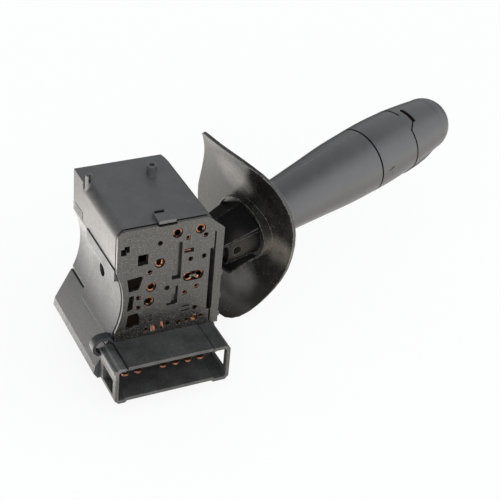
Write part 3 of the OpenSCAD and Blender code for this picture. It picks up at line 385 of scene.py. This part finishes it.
FINISH = (
    (base_black, ("base_housing",)),
    (cover_black, ("top_cover",)),
    (plate_black, ("contact_plate",)),
    (plug_black, ("connector_shroud",)),
    (neck_black, ("yoke", "stalk_arm")),
    (leaf_black, ("leaf_shield",)),
    (grip_black, ("stalk_handle", "light_sleeve", "horn_cap")),
    (mech_white, ("indicator_slider", "beam_slider", "detent_plunger", "detent_cam", "cancel_finger",
                  "light_rotor")),
    (copper, ("terminal_blades", "contact_tracks", "indicator_bridges", "beam_bridge", "horn_contact",
              "rotor_bridges")),
    (rivet_copper, ("contact_rivets",)),
    (steel, ("detent_spring", "cancel_pin", "horn_spring", "sleeve_detent_ball", "sleeve_detent_spring")),
    (brass_board, ("light_contact_disc",)),
)
for mat, names in FINISH:
    for name in names:
        node_mesh = frame["nodes"][name].data
        node_mesh.materials.clear()
        node_mesh.materials.append(mat)


# Building blocks

def keep(name, data, mat, body):
    """Add a mesh or a curve to the scene as a piece that moves with its body."""
    obj = bpy.data.objects.new(name, data)
    bpy.context.collection.objects.link(obj)
    data.materials.append(mat)
    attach(obj, body)


def mesh_piece(name, bm, mat, body):
    bmesh.ops.recalc_face_normals(bm, faces=bm.faces)
    mesh = bpy.data.meshes.new(name)
    bm.to_mesh(mesh)
    bm.free()
    keep(name, mesh, mat, body)


def tube_of(sections):
    """A solid through equal sections; a section is a list of points."""
    bm = bmesh.new()
    rows = [[bm.verts.new(point) for point in section] for section in sections]
    for near, far in zip(rows, rows[1:]):
        for i in range(len(near)):
            j = (i + 1) % len(near)
            bm.faces.new((near[i], near[j], far[j], far[i]))
    bm.faces.new(rows[0])
    bm.faces.new(rows[-1])
    return bm


# Small pieces in the housing

def at(x, y, z):
    """A point given in the housing's millimetres."""
    return ((x - HOUSING_ORIGIN[0]) * MM, (y - HOUSING_ORIGIN[1]) * MM, z * MM)


def prism(name, outline, front, back, mat, edge=0.05, lift=0.0):
    """A flat piece with a bevelled edge; lift moves its front face's top back by that much."""
    top = max(z for x, z in outline)
    low = min(z for x, z in outline)
    bm = tube_of([[at(x, front + lift * (z - low) / (top - low), z) for x, z in outline],
                  [at(x, back, z) for x, z in outline]])
    bmesh.ops.recalc_face_normals(bm, faces=bm.faces)
    bmesh.ops.bevel(bm, geom=list(bm.edges), offset=edge * MM, segments=2, affect="EDGES", profile=0.6)
    mesh_piece(name, bm, mat, "housing")


def box_outline(x0, z0, x1, z1):
    return [(x0, z0), (x1, z0), (x1, z1), (x0, z1)]


def stadium(x0, x1, z, r, count=8):
    points = []
    for cx, start in ((x1, -90), (x0, 90)):
        for i in range(count + 1):
            a = math.radians(start + 180 * i / count)
            points.append((cx + r * math.cos(a), z + r * math.sin(a)))
    return points


def window_shades():
    """Dark sheets behind the contact plate's three windows: painted shade for their shadowed inside."""
    outlines = (
        ("upper", [(4.25, -21.45), (9.7, -21), (10.45, -21.8), (9.1, -26.55), (5.2, -27.1)]),
        ("middle", [(5.4, -29.5), (6.8, -29.15), (7.15, -29.95), (6.8, -35.3), (4.75, -35.9)]),
        ("lower", [(5.2, -38.05), (8.8, -37.55), (9.85, -40.65), (9.75, -43.1), (4.15, -44.4)]),
    )
    for where, outline in outlines:
        prism("window_shade_" + where, list(reversed(outline)), 1.15, 1.3, shade_sheet, edge=0.02)


def contact_strips():
    """Two strips in the rectangular opening, the bar across the oblong one, and its feet."""
    prism("strip_upper", box_outline(26.7, -13.1, 28.9, -12.7), 0.9, 1.2, copper)
    prism("strip_lower", box_outline(26.9, -13.9, 29.5, -13.4), 0.8, 1.1, copper)
    prism("bar_contact", stadium(29.7, 31.7, -25.15, 0.45), 0.12, 0.28, silver, edge=0.06)
    prism("bar_foot_left", box_outline(28.9, -26.6, 29.8, -26), 0.1, 0.3, copper, lift=0.1)
    prism("bar_foot_right", box_outline(32.2, -26.1, 32.9, -25.5), 0.1, 0.3, copper, lift=0.1)


def contact_chips():
    """Bright bits of metal at three of the large holes."""
    chips = (
        ("chip_upper", [(17.4, -17.1), (17.9, -16.9), (18, -15.3), (17.5, -15.2)], copper, "copper"),
        ("chip_silver", [(33.1, -5.1), (33.9, -4.9), (33.8, -4.3), (33.2, -4.4)], silver, "pin_steel"),
        ("chip_low", [(14, -33.9), (14.5, -33.6), (14.4, -32.9), (14, -33)], silver, "pin_steel"),
    )
    for name, outline, mat, slot in chips:
        prism(name, outline, 0.2, 0.28, mat, edge=0.03)


def rim_path(inset, count=8):
    """The cover's front outline, from its low left corner round to its right shoulder."""
    r = COVER_ROUND - inset
    points = [(inset, COVER_SKIRT)]
    for i in range(count + 1):
        a = math.radians(180 - 90 * i / count)
        points.append((COVER_ROUND + r * math.cos(a), -COVER_ROUND + r * math.sin(a)))
    return points + [(COVER_SHOULDER, -inset)]


def rim_gap_shade():
    """A dark strip of painted shade at the bottom of the gap between the cover and the contact plate."""
    corners = [((outer, RIM_FRONT), (outer, RIM_BACK), (inner, RIM_BACK), (inner, RIM_FRONT))
               for outer, inner in zip(rim_path(RIM_OUTER), rim_path(RIM_INNER))]
    bm = tube_of([[at(x, y, z) for (x, z), y in section] for section in corners])
    mesh_piece("rim_gap_shade", bm, shade_sheet, "housing")


def tab_slot_shade():
    """A dark inlay on the latch tab's back corner, painting the shade of a slot there."""
    bm = tube_of([[at(x, y, z) for x, y in TAB_SLOT_SHADE] for z in (TAB_TOP - 0.05, TAB_TOP + 0.012)])
    bmesh.ops.bevel(bm, geom=list(bm.edges), offset=0.01 * MM, segments=1, affect="EDGES")
    mesh_piece("tab_slot_shade", bm, shade_sheet, "housing")


window_shades()
contact_strips()
contact_chips()
rim_gap_shade()
tab_slot_shade()


# Small pieces on the lever, in millimetres along it and degrees round it from its front

def neck_hole_shade(steps=24):
    """A dark disc in the hole through the neck's side: painted shade for its shadowed bottom."""
    across = Vector(NECK_HOLE_ACROSS)
    turns = [2 * math.pi * i / steps for i in range(steps)]
    ring = [(across * math.cos(a) + Vector((0, 0, math.sin(a)))) * NECK_HOLE_RADIUS * MM for a in turns]
    sections = []
    for depth in (-0.5, 0.15):
        centre = Vector(NECK_HOLE) + Vector(NECK_HOLE_AXIS) * depth * MM
        sections.append([centre + point for point in ring])
    mesh_piece("neck_hole_shade", tube_of(sections), shade_sheet, "stalk")


def grip_radius(s):
    for (s0, r0), (s1, r1) in zip(GRIP, GRIP[1:]):
        if s0 <= s <= s1:
            return r0 + (r1 - r0) * (s - s0) / (s1 - s0)


def on_lever(s, r, turn):
    yaw, pitch = math.radians(LEVER_YAW), math.radians(LEVER_PITCH)
    along = Vector((math.cos(pitch) * math.cos(yaw), math.cos(pitch) * math.sin(yaw), math.sin(pitch)))
    side = Vector((math.sin(yaw), -math.cos(yaw), 0))
    up = side.cross(along)
    a = math.radians(turn)
    return Vector(at(*PIVOT)) + (along * s + (side * math.cos(a) + up * math.sin(a)) * r) * MM


def bead(name, points, thick, mat, body):
    """A thin round line through the points; thick gives its radius from its start, 0, to its end, 1."""
    curve = bpy.data.curves.new(name, "CURVE")
    curve.dimensions = "3D"
    curve.bevel_depth = 1.0 * MM
    curve.bevel_resolution = 2
    spline = curve.splines.new("POLY")
    spline.points.add(len(points) - 1)
    for i, point in enumerate(points):
        spline.points[i].co = (*point, 1)
        spline.points[i].radius = thick(i / (len(points) - 1))
    keep(name, curve, mat, body)


def mould_line(count=60):
    """The parting line along the handle's top, uneven in its thickness."""
    points = []
    for i in range(count + 1):
        s = LINE_START + (LINE_END - LINE_START) * i / count
        points.append(on_lever(s, grip_radius(s) - 0.02, LINE_NEAR + (LINE_FAR - LINE_NEAR) * i / count))
    bead("mould_line", points, lambda u: 0.075 + 0.035 * math.sin(61 * u) * math.sin(23 * u), grip_line,
         "stalk")


def gap_shade_strip(name, edges, body, top, bottom):
    """A dark strip of painted shade in a gap of the lever's surface; each edge pair holds two (s, turn)
    points.

    top and bottom are heights over the surface.
    """
    sections = [[on_lever(s0, grip_radius(s0) + top, turn0), on_lever(s1, grip_radius(s1) + top, turn1),
                 on_lever(s1, grip_radius(s1) + bottom, turn1), on_lever(s0, grip_radius(s0) + bottom, turn0)]
                for (s0, turn0), (s1, turn1) in edges]
    mesh_piece(name, tube_of(sections), shade_sheet, body)


def ring_edges(s0, s1, start, end, steps=72):
    turns = [start + (end - start) * i / steps for i in range(steps + 1)]
    return [((s0, turn), (s1, turn)) for turn in turns]


def key_side_edges(steps=8):
    """The gap along the key's slanted front side."""
    edges = []
    for i in range(steps + 1):
        s = KEY_SIDE_START + KEY_SIDE_LENGTH * i / steps
        across = KEY_ROOT + (KEY_END - KEY_ROOT) * (s - KEY_START) / KEY_LENGTH
        turn = KEY_TURN - math.degrees(math.asin(across / KEY_RADIUS))
        edges.append(tuple((s, turn + offset) for offset in KEY_SIDE_TURNS))
    return edges


def sleeve_mark_shade(name, radius, start, end, thick, count=24):
    """A dark crescent of painted shade beside the sleeve's raised mark, from angle start to end round its
    centre.
    """
    points = []
    for i in range(count + 1):
        a = math.radians(start + (end - start) * i / count)
        turn = math.degrees(math.asin(radius * math.sin(a) / SLEEVE_RADIUS))
        points.append(on_lever(MARK_S + radius * math.cos(a), SLEEVE_RADIUS + 0.02, turn))
    bead(name, points, lambda u: 0.05 + thick * math.sin(math.pi * u), shade_sheet, "turning_sleeve")


neck_hole_shade()
mould_line()
gap_shade_strip("handle_gap_shade", ring_edges(*HANDLE_STRIP, 0, 360), "stalk", 0.045, -0.5)
gap_shade_strip("cap_gap_shade", ring_edges(*CAP_STRIP, 84.5, 409), "push_cap", 0.1, 0.08)
gap_shade_strip("key_end_gap_shade", ring_edges(*KEY_END_STRIP, 58.5, 92.3, 16), "push_cap", 0.19, 0.16)
gap_shade_strip("key_side_gap_shade", key_side_edges(), "push_cap", 0.17, 0.15)
sleeve_mark_shade("sleeve_shade_left", 1.4, 95, 300, 0.12)
sleeve_mark_shade("sleeve_shade_right", 0.75, -70, 60, 0.26)


# Studio: a bright light table under a dimmer room; the camera sees both nearly white

def world():
    w = bpy.data.worlds.new("studio")
    scene.world = w
    w.use_nodes = True
    n = Nodes(w.node_tree)
    out = n.add("ShaderNodeOutputWorld")
    ray = n.add("ShaderNodeLightPath")
    side = n.add("ShaderNodeTexCoord").outputs["Generated"]
    front, over, right = [n.ramp(n.dot(side, direction), low, high, 0.0, strength)
                          for direction, low, high, strength in ROOM_GLOWS]
    room = n.math("ADD", n.math("ADD", n.math("ADD", front, over), right), ROOM_ALL)
    seen = n.add("ShaderNodeBackground")
    seen.inputs["Color"].default_value = (1, 1, 1, 1)
    seen.inputs["Strength"].default_value = 1.0
    unseen = n.add("ShaderNodeBackground")
    unseen.inputs["Color"].default_value = (0.95, 0.98, 1.0, 1)
    n.link(room, unseen.inputs["Strength"])
    n.link(n.mix_shader(ray.outputs["Is Camera Ray"], unseen.outputs[0], seen.outputs[0]),
           out.inputs["Surface"])


def table_seen(n):
    """The table as the camera sees it: white, with a part of the object's shadow."""
    glow = n.add("ShaderNodeEmission")
    glow.inputs["Strength"].default_value = 1.0
    matte = n.add("ShaderNodeBsdfDiffuse")
    matte.inputs["Color"].default_value = (0.9, 0.9, 0.9, 1)
    return n.mix_shader(0.12, glow.outputs[0], matte.outputs[0])


def table_light(n):
    """The table as the object sees it: bright at the left and in front, dim at the back and under the leaf."""
    coords = n.add("ShaderNodeTexCoord").outputs["Object"]
    lamp = n.add("ShaderNodeEmission")
    lamp.inputs["Color"].default_value = (1.0, 0.96, 0.91, 1)
    left = n.ramp(n.dot(coords, (-0.85, 0.52, 0)), 0.0, 0.055, 0.0, TABLE_LEFT)
    left = n.math("MULTIPLY", left, n.ramp(n.dot(coords, (-1, 0, 0)), -0.01, 0.04))
    left = n.math("MULTIPLY", left, n.ramp(n.dot(coords, (0, 1, 0)), 0.05, 0.13, 1.3, 0.3))
    near = n.ramp(n.dot(coords, (0.1, -1, 0)), 0.03, 0.12, 0.0, TABLE_FRONT)
    base = n.ramp(n.dot(coords, (0, 1, 0)), 0.07, 0.2, TABLE_ALL, TABLE_FAR)
    shade = n.ramp(n.distance(coords, SHADE_AT), 0.012, 0.06, 0.2, 1.0)
    n.link(n.math("MULTIPLY", n.math("ADD", n.math("ADD", left, near), base), shade),
           lamp.inputs["Strength"])
    return lamp.outputs[0]


def floor():
    mesh = bpy.data.meshes.new("floor")
    corners = [(x * FLOOR_HALF, y * FLOOR_HALF, FLOOR_Z) for x, y in ((-1, -1), (1, -1), (1, 1), (-1, 1))]
    mesh.from_pydata(corners, [], [(0, 1, 2, 3)])
    obj = bpy.data.objects.new("floor", mesh)
    bpy.context.collection.objects.link(obj)
    mat = bpy.data.materials.new("light_table")
    mat.use_nodes = True
    n = Nodes(mat.node_tree)
    out = n.add("ShaderNodeOutputMaterial")
    ray = n.add("ShaderNodeLightPath")
    n.link(n.mix_shader(ray.outputs["Is Camera Ray"], table_light(n), table_seen(n)), out.inputs["Surface"])
    mesh.materials.append(mat)


def area(name, position, aim, size, power):
    light = bpy.data.lights.new(name, "AREA")
    light.shape = "RECTANGLE"
    light.size, light.size_y = size
    light.energy = power
    obj = bpy.data.objects.new(name, light)
    bpy.context.collection.objects.link(obj)
    obj.location = position
    obj.rotation_euler = (Vector(aim) - Vector(position)).to_track_quat("-Z", "Y").to_euler()


world()
floor()
area("front_softbox", (-0.45, -0.75, 0.45), (0.02, 0, 0), (0.5, 0.5), 2.0)
